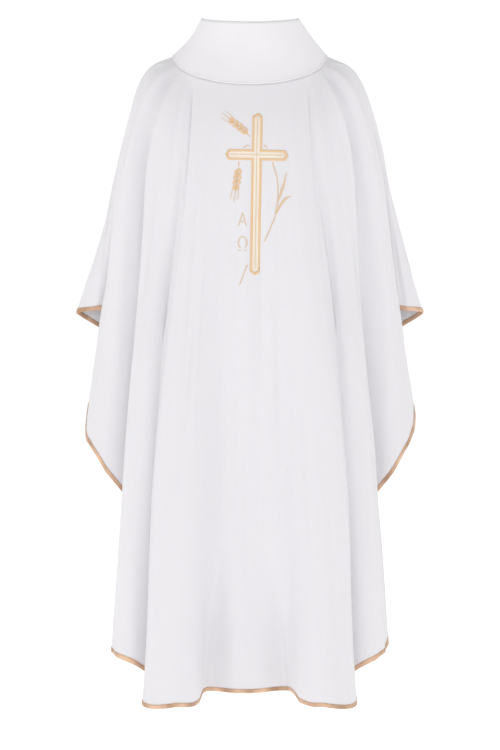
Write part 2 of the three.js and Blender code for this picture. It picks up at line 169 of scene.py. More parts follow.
def fold_line(i, back):
    """One fold line on the left side, from the neck seam to the edge."""
    angle = math.radians(NECK_ANGLES[i])
    points = [neck_point(math.pi - angle if back else angle)]
    narrow = 1 - BACK_NARROW * (1 - i / LAST) if back else 1
    for k, (x, proud, down) in enumerate(FOLDS[i]):
        plane = CUFF_BACK * min(1, down / CUFF_DROP)
        depth = BACK_SHARE * proud if back else -proud
        low = BACK_CUFF if back and k == len(FOLDS[i]) - 1 and i == LAST - 1 else 0
        points.append([x * narrow, plane + depth, -down - low])
    return smooth_through(points, LINE_STEPS)


def all_lines():
    """Every fold line round the garment, from the left shoulder across the front and back behind."""
    order = [(i, False, -1) for i in range(LAST, 0, -1)]
    order += [(i, False, 1) for i in range(LAST)]
    order += [(i, True, 1) for i in range(LAST, 0, -1)]
    order += [(i, True, -1) for i in range(LAST)]
    lines = []
    for i, back, side in order:
        line = fold_line(i, back)
        line[:, 0] *= side
        lines.append(line)
    return lines


def facing(row, up):
    """Outward directions along a closed row of points, and how square the row runs to the ways up."""
    before = row - np.roll(row, 1, 0)
    after = np.roll(row, -1, 0) - row
    across = 0
    square = 0
    for side in (before, after):
        flat = side - up * np.sum(side * up, axis=1, keepdims=True)
        square = square + np.linalg.norm(flat, axis=1) / np.linalg.norm(side, axis=1) / 2
        across = across + unit(flat)
    return unit(np.cross(across, up)), square


def hang():
    """The cloth as rows of points round the garment, from the neck to the edge, and the edge's slant."""
    lines = all_lines()
    edge = smooth_through([line[-1] for line in lines], PER_SPAN, closed=True)
    tails = smooth_through([along(line, 0.97) for line in lines], PER_SPAN, closed=True)
    out, square = facing(edge, unit(tails - edge))
    slant = 1 / np.maximum(MIN_SQUARE, square)
    shares = (np.arange(ROWS) / (ROWS - 1)) ** ROW_CROWDING
    stations = []
    for line, reach in zip(lines, slant[::PER_SPAN]):
        clear = 1 - 1.5 * BIND_W * reach / run_of(line)[-1]
        stations.append(along(line, shares * clear))
    stations = smooth_through(stations, PER_SPAN, closed=True)
    grid = list(np.swapaxes(stations, 0, 1))
    way = unit(grid[-1] - edge)
    for k in range(EDGE_ROWS):
        inset = BIND_W * (1 - k / (EDGE_ROWS - 1))
        grid.append(edge + way * (inset * slant)[:, None])
    return np.array(grid), slant


GRID, SLANT = hang()
COLUMNS = GRID.shape[1]
HALF = COLUMNS // 2  # the front takes the columns up to here, and the back the rest
EDGE = len(GRID) - 1  # the row along the very edge


def outward_field(grid):
    """The outward direction at every point of the cloth."""
    across = np.roll(grid, -1, 1) - np.roll(grid, 1, 1)
    up = np.empty_like(grid)
    up[1:-1] = grid[:-2] - grid[2:]
    up[0], up[-1] = grid[0] - grid[1], grid[-2] - grid[-1]
    return unit(np.cross(across, up))


def flat_pattern(grid):
    """Where each point lay on the cloth before it was hung, as a fan cut round the neck, in mm."""
    steps = np.linalg.norm(np.diff(grid, axis=0), axis=2)
    down = np.concatenate([np.zeros((1, COLUMNS)), np.cumsum(steps, axis=0)])
    radius = down + PATTERN_NECK
    widths = np.linalg.norm(np.roll(grid, -1, 1) - grid, axis=2)
    skirt = slice(ROWS // 3, None)
    turn = np.sum(widths[skirt] * radius[skirt], axis=0) / np.sum(radius[skirt] ** 2, axis=0)
    angle = np.concatenate([[0], np.cumsum(turn)])
    return down, radius, angle


def ease(value, start, end):
    """0 before start, 1 after end, and a smooth climb between them."""
    t = min(max((value - start) / (end - start), 0), 1)
    return t * t * (3 - 2 * t)


def bump(value, middle, width):
    """1 at the middle, and a smooth fall to nothing either side of it."""
    return math.exp(-(((value - middle) / width) ** 2))


# How proud the small folds stand, in mm: broad waves, the folds between them, and sharp creases.
BROAD_WAVE = 7.5
SMALL_FOLD = 6.5
SHARP_CREASE = 2.8

# Creases that run from the sides of the neck over the shoulders: the fold line they follow, their
# height in mm, their width in fold lines, and how far down the cloth they reach.
SHOULDER_CREASES = (
    (3.7, -3.5, 0.35, 0.4),
    (4.6, 4.5, 0.3, 0.55),
    (6.1, 4.0, 0.28, 0.5),
    (7.2, -4.0, 0.35, 0.55),
    (8.2, 4.5, 0.3, 0.6),
    (9.6, 3.5, 0.3, 0.45),
)

# The front folds between the centre panel and the wings. Places are counted in fold lines.
SIDE_FOLD, SIDE_FOLD_WIDTH, SIDE_FOLD_PROUD = 4.6, 1.1, 14
INNER_WALL, INNER_WALL_WIDTH, INNER_WALL_SLOPE = 3.8, 0.5, 15
OUTER_WALL, OUTER_WALL_WIDTH, OUTER_WALL_SLOPE = 6.8, 0.45, 9
NARROWING, NARROWING_WIDTH, NARROWED_BY = 3.7, 0.9, 10

# The front hem: two pleats pushed in, and the step down either side of them, in mm.
PLEATS = (-64, 54)
PLEAT_W = 22
PLEAT_DEPTH = 36
HEM_STEP = 11
STEP_STARTS = {"right": 71, "left": 78}
STEP_W = 18

# The cuff's edge is held up a little inside its point, in mm.
CUFF_HOLD_X = 288
CUFF_HOLD_W = 12
CUFF_HOLD = 13


def small_folds(k, v):
    """How far the small folds lift the cloth, at a column and a share of the way down."""
    turn = 2 * math.pi * k / COLUMNS
    ring = Vector((math.cos(turn), math.sin(turn), 0))
    broad = noise.noise(ring * 7 + Vector((0, 0, v * 1.1)))
    fold = noise.noise(ring * 17 + Vector((3, 7, v * 1.6)))
    crease = 1 - 2 * abs(noise.noise(ring * 27 + Vector((5, 2, v * 2.2 + 9))))
    return (broad * BROAD_WAVE + fold * SMALL_FOLD + crease * SHARP_CREASE) * min(1, v * 3)


def front_lift(line, v):
    """How far the shoulder creases and the side fold stand proud, at a fold line of the front."""
    lift = SIDE_FOLD_PROUD * ease(v, 0.35, 0.55) * bump(line, SIDE_FOLD, SIDE_FOLD_WIDTH)
    for middle, height, width, reach in SHOULDER_CREASES:
        fade = ease(v, 0, 0.06) * (1 - ease(v, reach * 0.4, reach))
        lift += height * fade * bump(line, middle, width)
    return lift


def front_spread(line, v):
    """How far the front's folds move outward: their walls slope, and the panel narrows to the hem."""
    walls = INNER_WALL_SLOPE * bump(line, INNER_WALL, INNER_WALL_WIDTH)
    walls += OUTER_WALL_SLOPE * bump(line, OUTER_WALL, OUTER_WALL_WIDTH)
    walls *= ease(v, 0.15, 0.4) * (1 - 0.8 * ease(v, 0.7, 0.97))
    return walls - NARROWED_BY * ease(v, 0.65, 1) * bump(line, NARROWING, NARROWING_WIDTH)


def hem_pleats(x, z):
    """How far the pleats at the front hem are pushed in."""
    return PLEAT_DEPTH * ease(-z, 900, 1190) * sum(bump(x, middle, PLEAT_W) for middle in PLEATS)


def hem_step(x, z):
    """How much lower the front hem hangs either side of its pleats."""
    start = STEP_STARTS["right" if x < 0 else "left"]
    step = ease(abs(x), start, start + STEP_W) * (1 - ease(abs(x), 104, 142))
    return HEM_STEP * ease(-z, 1080, 1210) * step


def soft_folds(grid):
    """Shallow folds and creases laid over the main ones, and the small pleats at the front hem."""
    lift = np.zeros(grid.shape[:2])
    shift = np.zeros_like(grid)
    for j, row in enumerate(grid):
        v = min(j / (ROWS - 1), 1)
        for k, (x, y, z) in enumerate(row):
            lift[j, k] = small_folds(k, v)
            if k <= HALF:
                line = abs(k - HALF / 2) / PER_SPAN
                lift[j, k] += front_lift(line, v)
                shift[j, k, 0] = math.copysign(1, x) * front_spread(line, v)
                if z > -560:
                    shift[j, k, 2] += CUFF_HOLD * ease(-z, 430, 495) * bump(abs(x), CUFF_HOLD_X, CUFF_HOLD_W)
            if y < 0:
                lift[j, k] -= hem_pleats(x, z)
                shift[j, k, 2] -= hem_step(x, z)
    return grid + outward_field(grid) * lift[:, :, None] + shift


GRID = soft_folds(GRID)
OUT = outward_field(GRID)
DOWN, RADIUS, ANGLE = flat_pattern(GRID)


# ---------------------------------------------------------------- making meshes
def new_piece(name, bm, material):
    """A finished piece of the garment with one material, its shape at the origin."""
    mesh = bpy.data.meshes.new(name)
    bm.to_mesh(mesh)
    bm.free()
    piece = bpy.data.objects.new(name, mesh)
    bpy.context.scene.collection.objects.link(piece)
    mesh.materials.append(material)
    for face in mesh.polygons:
        face.use_smooth = True
    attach(piece, "root")
    return piece


def sheet_mesh(points, uv):
    """A grid of cloth laid on rows of points, with its own pattern map."""
    rows, columns = points.shape[:2]
    bm = bmesh.new()
    bmesh.ops.create_grid(bm, x_segments=columns - 1, y_segments=rows - 1, size=0.5)
    bm.verts.ensure_lookup_table()
    layer = bm.loops.layers.uv.new("Pattern")
    place = {}
    for v in bm.verts:
        k = round((v.co.x + 0.5) * (columns - 1))
        j = round((v.co.y + 0.5) * (rows - 1))
        place[v] = (j, k)
    for v, (j, k) in place.items():
        v.co = Vector(points[j, k]) * MM
    for f in bm.faces:
        for loop in f.loops:
            loop[layer].uv = uv[place[loop.vert]]
    return bm


def outer_side(bm):
    """Turns the faces so that the sheet's face side is the one away from the body."""
    bm.normal_update()
    middle = 0.02
    total = sum(f.normal.y * (f.calc_center_median().y - middle) for f in bm.faces)
    if total < 0:
        bmesh.ops.reverse_faces(bm, faces=bm.faces)
    return bm


# ---------------------------------------------------------------- materials
BAND_SCALE = 0.157  # the scale at which a wave texture's light and dark bands are each 1 m wide


def finish_nodes(name):
    """A new material with its shader, and a helper that adds and wires nodes."""
    material = bpy.data.materials.new(name)
    material.use_nodes = True
    tree = material.node_tree
    shader = tree.nodes["Principled BSDF"]

    def add(kind, inputs=(), **settings):
        node = tree.nodes.new(kind)
        for key, value in settings.items():
            setattr(node, key, value)
        for key, value in dict(inputs).items():
            if isinstance(value, bpy.types.NodeSocket):
                tree.links.new(value, node.inputs[key])
            else:
                node.inputs[key].default_value = value
        return node

    return material, shader, add, tree.links.new


def pattern_map(add, scale):
    """The piece's own cloth map in metres, stretched by a scale."""
    place = add("ShaderNodeUVMap", uv_map="Pattern")
    return add("ShaderNodeMapping", {"Vector": place.outputs[0], "Scale": scale}).outputs[0]


def uneven(add, scale, detail):
    """A soft unevenness that follows the cloth, so many spots to the metre each way."""
    place = {"Vector": pattern_map(add, scale), "Scale": 1.0, "Detail": detail}
    return add("ShaderNodeTexNoise", place).outputs["Fac"]


def woven_cloth(name, color, warm, thread, roughness, sheen):
    """Fine plain-weave cloth: crossing threads, slubs and a faint change of tone."""
    material, shader, add, link = finish_nodes(name)
    plain = pattern_map(add, (1, 1, 1))
    lines = {"Vector": plain, "Scale": BAND_SCALE / thread}
    warp = add("ShaderNodeTexWave", lines, wave_type="BANDS", bands_direction="X")
    weft = add("ShaderNodeTexWave", lines, wave_type="BANDS", bands_direction="Y")
    slub = uneven(add, (90, 700, 1), 1)
    run = uneven(add, (420, 9, 1), 1)
    weave = add("ShaderNodeMath", {0: warp.outputs["Fac"], 1: weft.outputs["Fac"]}, operation="MULTIPLY")
    slubs = add("ShaderNodeMath", {0: slub, 1: run}, operation="ADD")
    sum_of = {0: weave.outputs[0], 1: 0.5, 2: slubs.outputs[0]}
    threads = add("ShaderNodeMath", sum_of, operation="MULTIPLY_ADD")
    fine = add("ShaderNodeBump", {"Height": threads.outputs[0], "Strength": 0.3, "Distance": 0.0004})
    link(fine.outputs[0], shader.inputs["Normal"])
    share = add("ShaderNodeMapRange", {"Value": slubs.outputs[0], "From Min": 0.7, "From Max": 1.3})
    tone = add("ShaderNodeMix", {0: share.outputs[0], 6: (*warm, 1), 7: (*color, 1)}, data_type="RGBA")
    link(tone.outputs[2], shader.inputs["Base Color"])
    shader.inputs["Roughness"].default_value = roughness
    shader.inputs["Sheen Weight"].default_value = sheen
    shader.inputs["Sheen Roughness"].default_value = 0.45
    shader.inputs["Specular IOR Level"].default_value = 0.25
    return material


def satin_ribbon(name, color, shade_and_tone_color):
    """Satin bias strip: long floats across it, a silky gloss, small puckers from the stitching, and shade and
    highlight painted into its colour in soft patches.
    """
    material, shader, add, link = finish_nodes(name)
    floats = uneven(add, (2600, 120, 1), 2)
    pucker = uneven(add, (150, 40, 1), 2)
    # Painted shade and highlight: this noise lays soft patches of shaded brown and lit gold over the strip,
    # standing in for the satin's changing sheen.
    tone = uneven(add, (22, 30, 1), 3)
    fine = add("ShaderNodeBump", {"Height": floats, "Strength": 0.25, "Distance": 0.0002})
    rough = add("ShaderNodeBump", {"Height": pucker, "Strength": 0.45, "Distance": 0.0012,
                "Normal": fine.outputs[0]})
    link(rough.outputs[0], shader.inputs["Normal"])
    # Painted shade and highlight: low noise gives the painted shade colour, high noise the full lit gold.
    spread = add("ShaderNodeMapRange", {"Value": tone, "From Min": 0.36, "From Max": 0.62})
    mix = add("ShaderNodeMix", {0: spread.outputs[0], 6: (*shade_and_tone_color, 1), 7: (*color, 1)}, data_type="RGBA")
    link(mix.outputs[2], shader.inputs["Base Color"])
    gloss = add("ShaderNodeMapRange", {"Value": floats, "From Min": 0.3, "From Max": 0.7,
                "To Min": 0.46, "To Max": 0.3})
    link(gloss.outputs[0], shader.inputs["Roughness"])
    shader.inputs["Sheen Weight"].default_value = 0.35
    shader.inputs["Sheen Roughness"].default_value = 0.3
    shader.inputs["Anisotropic"].default_value = 0.4
    return material


def stitched_thread(name, color, shade_and_tone_color, pitch, roughness=0.36):
    """Embroidery thread laid side by side across the line that it fills, with shade painted into the grooves
    between the threads.
    """
    material, shader, add, link = finish_nodes(name)
    laid = add("ShaderNodeTexWave", {"Vector": pattern_map(add, (1, 1, 1)), "Scale": BAND_SCALE / pitch,
               "Distortion": 1.2, "Detail": 2.0, "Detail Scale": 1.5}, wave_type="BANDS", bands_direction="X")
    spread = uneven(add, (420, 60, 1), 2)
    fine = add("ShaderNodeBump", {"Height": laid.outputs["Fac"], "Strength": 0.6, "Distance": 0.0003})
    link(fine.outputs[0], shader.inputs["Normal"])
    # Painted shade: the colour turns dark in the grooves between the laid threads, where the bump is low, and
    # also in random dim patches of the thread's own tone.
    share = add("ShaderNodeMath", {0: laid.outputs["Fac"], 1: spread}, operation="MULTIPLY")
    level = add("ShaderNodeMapRange", {"Value": share.outputs[0], "From Min": 0.05, "From Max": 0.4})
    mix = add("ShaderNodeMix", {0: level.outputs[0], 6: (*shade_and_tone_color, 1), 7: (*color, 1)}, data_type="RGBA")
    link(mix.outputs[2], shader.inputs["Base Color"])
    shader.inputs["Roughness"].default_value = roughness
    shader.inputs["Sheen Weight"].default_value = 0.3
    shader.inputs["Anisotropic"].default_value = 0.5
    return material


def felt_core(name, color):
    """Stiff matted felt, with fibres in all directions."""
    material, shader, add, link = finish_nodes(name)
    place = add("ShaderNodeTexCoord")
    fibres = add("ShaderNodeTexNoise", {"Vector": place.outputs["Object"], "Scale": 900.0, "Detail": 4.0})
    bump = add("ShaderNodeBump", {"Height": fibres.outputs["Fac"], "Strength": 0.4, "Distance": 0.0004})
    link(bump.outputs[0], shader.inputs["Normal"])
    pale = tuple(c * 0.92 for c in color)
    mix = add("ShaderNodeMix", {0: fibres.outputs["Fac"], 6: (*pale, 1), 7: (*color, 1)}, data_type="RGBA")
    link(mix.outputs[2], shader.inputs["Base Color"])
    shader.inputs["Roughness"].default_value = 0.95
    return material


white_cloth = woven_cloth("white cloth", (0.812, 0.80, 0.838), (0.82, 0.802, 0.818), 0.00045, 0.72, 0.2)
collar_cloth = woven_cloth("collar cloth", (0.895, 0.876, 0.908), (0.9, 0.882, 0.896), 0.00045, 0.68, 0.2)
inner_cloth = woven_cloth("inner cloth", (0.88, 0.865, 0.88), (0.885, 0.865, 0.86), 0.0004, 0.8, 0.15)
gold_satin = satin_ribbon("gold satin", (0.80, 0.53, 0.36), (0.43, 0.255, 0.15))
gold_thread = stitched_thread("gold thread", (0.9, 0.66, 0.41), (0.76, 0.49, 0.26), 0.0009)
pale_thread = stitched_thread("pale gold thread", (0.84, 0.65, 0.45), (0.70, 0.50, 0.31), 0.0009)
cream_thread = stitched_thread("cream thread", (0.96, 0.89, 0.80), (0.91, 0.81, 0.68), 0.0011, 0.42)
sewing_thread = stitched_thread("sewing thread", (0.80, 0.55, 0.34), (0.62, 0.38, 0.2), 0.0006)
white_thread = stitched_thread("white sewing thread", (0.86, 0.85, 0.86), (0.74, 0.73, 0.74), 0.0006)
core_felt = felt_core("core felt", (0.86, 0.86, 0.82))

# ---------------------------------------------------------------- panels and bindings
HALF_T = PANEL_T / 2
LIP = HALF_T + 0.15 + BIND_T / 2  # the binding's middle surface over the middle of the cloth
BIND_LEGS = (0, 0.35, 0.7, 0.94, 1)  # shares of the binding's width where its legs have a row
BIND_TURNS = 6  # steps round the cloth's edge


def binding_section():
    """The binding's middle surface: down the face, round the edge and up the back."""
    legs = [GRID[ROWS] * (1 - s) + GRID[EDGE] * s for s in BIND_LEGS]
    out = OUT[EDGE] * LIP
    downward = unit(GRID[EDGE] - GRID[ROWS]) * SLANT[:, None] * LIP
    rows = [leg + out for leg in legs]
    for step in range(1, BIND_TURNS):
        turn = math.pi * step / BIND_TURNS
        rows.append(GRID[EDGE] + out * math.cos(turn) + downward * math.sin(turn))
    rows += [leg - out for leg in reversed(legs)]
    return np.array(rows)


BINDING = binding_section()


def thicken(piece, thickness):
    """Gives a sheet its thickness, half on each side."""
    layer = piece.modifiers.new("thickness", "SOLIDIFY")
    layer.thickness = thickness * MM
    layer.offset = 0
    layer.use_even_offset = False
    return piece


def stitch_shape(length, girth):
    """One stitch: a short plump thread that dips at both ends."""
    bm = bmesh.new()
    uv = bm.loops.layers.uv.new("Pattern")
    bmesh.ops.create_cube(bm, size=1)
    long = [e for e in bm.edges if abs(e.verts[0].co.x - e.verts[1].co.x) > 0.5]
    bmesh.ops.subdivide_edges(bm, edges=long, cuts=2)
    for v in bm.verts:
        taper, rise = (0.5, 0.1) if abs(v.co.x) > 0.4 else (1, 0.4)
        v.co = Vector((v.co.x * length, v.co.y * girth * taper, (v.co.z * taper + rise) * girth)) * MM
    for f in bm.faces:
        for loop in f.loops:
            loop[uv].uv = (loop.vert.co.x, loop.vert.co.y)
    mesh = bpy.data.meshes.new("stitch")
    bm.to_mesh(mesh)
    bm.free()
    return mesh


def stitches(name, path, out, material, length=3.0, gap=1.2, girth=0.55):
    """A row of small thread stitches along a path, each lying on the cloth."""
    run = run_of(path)
    count = int(run[-1] / (length + gap))
    pitch = run[-1] / count
    shape = stitch_shape(length, girth)
    size = len(shape.vertices)
    bm = bmesh.new()
    for i in range(count):
        middle = (i + 0.5) * pitch
        a, b = read_at([middle - length / 2, middle + length / 2], run, path)
        way = unit(b - a)
        side = unit(np.cross(unit(read_at(middle, run, out)), way))
        turn = Matrix((way, side, np.cross(way, side))).transposed().to_4x4()
        bm.from_mesh(shape)
        bm.verts.ensure_lookup_table()
        place = Matrix.Translation(Vector((a + b) / 2) * MM) @ turn
        bmesh.ops.transform(bm, matrix=place, verts=bm.verts[-size:])
    bpy.data.meshes.remove(shape)
    return new_piece(name, bm, material)


def cloth_panel(name, columns, turn):
    """One side of the garment, mapped as the fan of cloth that it was cut from."""
    reach = RADIUS[:, columns] * MM
    uv = np.stack([reach * np.sin(turn), -reach * np.cos(turn)], axis=2)
    bm = outer_side(sheet_mesh(GRID[:, columns], uv))
    panel = thicken(new_piece(name + "_cloth", bm, white_cloth), PANEL_T)
    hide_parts(name + "_panel")
    return panel


def edge_binding(name, columns):
    """The satin strip folded over one side's edge."""
    strip = BINDING[:, columns]
    run = run_of(GRID[EDGE][columns]) * MM
    across = np.linspace(0, 0.019, len(strip))
    bm = sheet_mesh(strip, np.stack(np.meshgrid(run, across), axis=2))
    bmesh.ops.recalc_face_normals(bm, faces=bm.faces)
    binding = thicken(new_piece(name + "_binding", bm, gold_satin), BIND_T)
    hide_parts("hem_binding_" + name)
    return binding


def binding_stitches(name, columns):
    """The row of stitches along the binding's upper edge."""
    line = BINDING[0][columns] * 0.82 + BINDING[2][columns] * 0.18 + OUT[EDGE][columns] * (BIND_T / 2)
    row = stitches(name + "_binding_stitches", line, OUT[EDGE][columns], sewing_thread)
    return row


panels = {}
for name, first, last in (("front", 0, HALF), ("back", HALF, COLUMNS)):
    columns = np.arange(first, last + 1) % COLUMNS
    turn = ANGLE[first : last + 1] - (ANGLE[first] + ANGLE[last]) / 2
    panel = panels[name] = cloth_panel(name, columns, turn)
    binding = edge_binding(name, columns)
    row = binding_stitches(name, columns)


# ---------------------------------------------------------------- collar
COLLAR_SIDES = 160
COLLAR_ROWS = 26
COLLAR_T = 1.4  # each cloth layer
CORE_T = 1.0  # stiff layer between them
LAYER_GAP = 0.3
COLLAR_FOOT = 0.012  # share of the height where the layers start, over the neck seam
CORE_TOP = 0.985  # share of the height where the stiff layer ends, under the fold
FACE_OUT = CORE_T / 2 + LAYER_GAP + COLLAR_T / 2  # from the collar's middle to the middle of each cloth
BACK_SEAM_W = 10
FINE_STITCH = (2.8, 1.0, 0.4)  # length, gap and girth
COLLAR_AROUND = np.arange(COLLAR_SIDES + 1) % COLLAR_SIDES * (2 * math.pi / COLLAR_SIDES)


def collar_point(angle, rise):
    """A point in the collar's middle, by its angle from the centre front and its share of the height."""
    foot = neck_point(angle)
    front = math.cos(angle)
    dip = COLLAR_DIP * front if front > 0 else 0
    top = np.array([COLLAR_TOP_X * math.sin(angle), -COLLAR_TOP_Y * front, COLLAR_H - dip])
    p = foot * (1 - rise) + top * rise
    waist = 1 - 0.03 * math.sin(math.pi * min(rise, 1))
    return np.array([p[0] * waist, p[1] * waist, p[2]])


def collar_up(angle, rise):
    """The way up along the collar."""
    return collar_point(angle, rise + 0.02) - collar_point(angle, rise - 0.02)


def collar_out(angle, rise):
    """The outward direction of the collar."""
    across = collar_point(angle + 0.02, rise) - collar_point(angle - 0.02, rise)
    return unit(np.cross(across, collar_up(angle, rise)))


def collar_ease(angle, rise):
    """How far the stiffened cloth strays in and out where it stands freely, in mm."""
    ring = Vector((math.cos(angle), math.sin(angle), 0))
    stray = noise.noise(ring * 1.6 + Vector((0, 0, rise * 0.9))) * 4.5
    stray += noise.noise(ring * 5 + Vector((4, 2, rise * 1.2))) * 1.6
    return stray * math.sin(math.pi * min(rise / 1.1, 1))


def on_collar(angle, rise, offset):
    """A point at an offset from the collar's middle, with the stray of the cloth."""
    out = collar_out(angle, rise)
    return collar_point(angle, rise) + out * (offset + collar_ease(angle, rise))


def collar_layer(name, offset, thickness, top, material):
    """One layer of the collar as a closed ring of cloth."""
    rises = np.linspace(COLLAR_FOOT, top, COLLAR_ROWS)
    points = np.array([[on_collar(a + math.pi, rise, offset) for a in COLLAR_AROUND] for rise in rises])
    height = np.linspace(0, 0.092, COLLAR_ROWS)
    around = np.linspace(0, 0.7, COLLAR_SIDES + 1)
    bm = sheet_mesh(points, np.stack(np.meshgrid(around, height), axis=2))
    bmesh.ops.remove_doubles(bm, verts=bm.verts, dist=1e-6)
    bmesh.ops.recalc_face_normals(bm, faces=bm.faces)
    return thicken(new_piece(name, bm, material), thickness)


collar = collar_layer("collar_face", FACE_OUT, COLLAR_T, 1, collar_cloth)
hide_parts("collar_outer")
lining = collar_layer("collar_lining", -FACE_OUT, COLLAR_T, 1, inner_cloth)
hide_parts("collar_inner")
core = collar_layer("collar_core", 0, CORE_T, CORE_TOP, core_felt)
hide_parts("collar_interfacing")


def fold_lip(name, rise, offset, girth, height, material):
    """A rounded fold of cloth that runs right round the collar at one height."""
    sides = 12
    turns = [2 * math.pi * (t % sides) / sides for t in range(sides + 1)]
    rings = []
    for angle in COLLAR_AROUND + math.pi:
        out = collar_out(angle, rise)
        up = unit(collar_up(angle, rise))
        middle = on_collar(angle, rise, offset)
        rings.append([middle + out * girth * math.cos(t) + up * height * math.sin(t) for t in turns])
    around = np.arange(COLLAR_SIDES + 1) * 0.0044
    uv = np.stack(np.meshgrid(np.linspace(0, 0.012, sides + 1), around), axis=2)
    bm = sheet_mesh(np.array(rings), uv)
    bmesh.ops.remove_doubles(bm, verts=bm.verts, dist=2e-6)
    bmesh.ops.recalc_face_normals(bm, faces=bm.faces)
    return new_piece(name, bm, material)


def collar_stitches(name, rise):
    """A row of quilting stitches round the collar at one height."""
    angles = [2 * math.pi * k / COLLAR_SIDES for k in range(COLLAR_SIDES + 1)]
    ring = np.array([on_collar(angle, rise, FACE_OUT + COLLAR_T / 2 + 0.05) for angle in angles])
    outs = np.array([collar_out(angle, rise) for angle in angles])
    row = stitches(name, ring, outs, white_thread, *FINE_STITCH)
    return row


def collar_back_seam():
    """The seam that closes the collar at the centre back, as a narrow pressed strip."""
    across = np.linspace(-BACK_SEAM_W / 2, BACK_SEAM_W / 2, 11)
    swell = [0] + [0.35 * math.cos(2 * math.pi * x / BACK_SEAM_W) for x in across[1:-1]] + [0]
    section = np.stack([across, swell, np.zeros(len(across))], axis=1)
    rises = np.linspace(0.03, CORE_TOP, 24)
    strip = np.array([on_collar(math.pi, rise, FACE_OUT + 0.55) + section for rise in rises])
    uv = np.stack(np.meshgrid(np.linspace(0, 0.01, 11), np.linspace(0, 0.09, 24)), axis=2)
    seam = thicken(new_piece("collar_back_seam", outer_side(sheet_mesh(strip, uv)), collar_cloth), 0.8)
    return seam


top_fold = fold_lip("collar_top_fold", 1.0, 0, FACE_OUT + COLLAR_T / 2, 1.5, collar_cloth)
foot_fold = fold_lip("collar_foot_seam", 0.006, FACE_OUT + 0.2, 1.5, 1.5, collar_cloth)
collar_rows = [collar_stitches("collar_stitches_top", 0.965), collar_stitches("collar_stitches_foot", 0.05)]
seam = collar_back_seam()

# ---------------------------------------------------------------- seams and facing under the cloth
SEAM_T = 1.0
SEAM_W = 11.0  # allowance on each side of the shoulder line
SEAM_COLUMNS = 8  # columns of cloth that it lies under, each side
SEAM_ROWS = np.arange(6, ROWS - 2)
STITCH_ROWS = range(2, ROWS - 1, 2)
STITCHED_AT = 2.2  # distance of each row of stitches from the seam
FACING_DEPTH = 34
UNDER = -(HALF_T + 0.3 + SEAM_T / 2)  # from the middle of the cloth to the middle of a layer under it


def from_seam(j, columns):
    """Distances from the shoulder line along one row of the cloth."""
    run = run_of(GRID[j][columns])
    return run - run[SEAM_COLUMNS]


def shoulder_allowance(side, station, columns):
    """The seam allowances of one shoulder, pressed open under the cloth."""
    share = np.linspace(-1, 1, len(columns))
    points = []
    for j in SEAM_ROWS:
        reach = from_seam(j, columns)
        width = min(SEAM_W, reach[-1], -reach[0])
        points.append(read_at(share * width, reach, GRID[j][columns] + OUT[j][columns] * UNDER))
    uv = np.stack(np.meshgrid(share * SEAM_W * MM, DOWN[SEAM_ROWS, station] * MM), axis=2)
    bm = sheet_mesh(np.array(points), uv)
    bmesh.ops.recalc_face_normals(bm, faces=bm.faces)
    allowance = thicken(new_piece("shoulder_allowance_" + side, bm, inner_cloth), SEAM_T)
    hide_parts("shoulder_seam_" + side)


def shoulder_stitches(name, columns, offset):
    """A row of stitches on the cloth, beside the shoulder line."""
    path, outs = [], []
    for j in STITCH_ROWS:
        reach = from_seam(j, columns)
        out = read_at(offset, reach, OUT[j][columns])
        path.append(read_at(offset, reach, GRID[j][columns]) + out * (HALF_T - 0.05))
        outs.append(out)
    row = stitches(name, np.array(path), np.array(outs), white_thread, *FINE_STITCH)


def neck_facing():
    """The ring of cloth under the neck edge."""
    rows = [j for j in range(ROWS) if DOWN[j].mean() < FACING_DEPTH]
    columns = np.arange(COLUMNS + 1) % COLUMNS
    points = GRID[rows][:, columns] + OUT[rows][:, columns] * UNDER
    around = run_of(GRID[0][columns])
    bm = sheet_mesh(points, np.stack(np.meshgrid(around * MM, DOWN[rows, 0] * MM), axis=2))
    bmesh.ops.remove_doubles(bm, verts=bm.verts, dist=1e-6)
    bmesh.ops.recalc_face_normals(bm, faces=bm.faces)
    ring = thicken(new_piece("neck_facing_ring", bm, inner_cloth), SEAM_T)
    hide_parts("neck_facing")


for side, station in (("left", 0), ("right", HALF)):
    columns = np.arange(station - SEAM_COLUMNS, station + SEAM_COLUMNS + 1) % COLUMNS
    shoulder_allowance(side, station, columns)
    shoulder_stitches("shoulder_stitches_" + side + "_front", columns, -STITCHED_AT)
    shoulder_stitches("shoulder_stitches_" + side + "_back", columns, STITCHED_AT)
neck_facing()

# ---------------------------------------------------------------- embroidery
CROSS_X = 13  # the crossing stands a little off the centre line
CROSS_DROP = 203
CROSS_TILT = 1.05  # degrees, top to the right
CROSS_UP = 81
CROSS_DOWN = 224
CROSS_ARM = 60
UPRIGHT_W = 20
BAR_W = 21
BORDER_W = 5.0
POINT = 5  # how far the arms run out to their points
CENTRE_MARGIN = 9  # from the end of an arm to the end of its centre thread
CENTRE_W = 1.2
FILL_ROWS = 4  # rows of filling across each arm
STEM_W = 2.2
EAR_W = 15.0
THREAD_SIDES = 10
LETTER_W = 17
LETTER_H = 27
LETTER_STROKE = 1.9
SINK = 0.25  # how far a thread's underside sinks into the cloth
LAID = 0.15  # clearance of a thread's middle over the cloth

chest = bmesh.new()
chest.from_mesh(panels["front"].data)
CHEST = BVHTree.FromBMesh(chest)
chest.free()


def on_chest(x, z):
    """The face of the cloth over a place on the chest, and its outward direction."""
    hit, normal, _, _ = CHEST.ray_cast(Vector((x, -500, z)) * MM, Vector((0, 1, 0)))
    if normal.y > 0:
        normal = -normal
    return np.array(hit) / MM + np.array(normal) * HALF_T, np.array(normal)


def placed(x, y, tilt):
    """The place on the chest of a point measured from the crossing."""
    lean = math.radians(tilt)
    across = x * math.cos(lean) + y * math.sin(lean)
    up = y * math.cos(lean) - x * math.sin(lean)
    return CROSS_X + across, up - CROSS_DROP


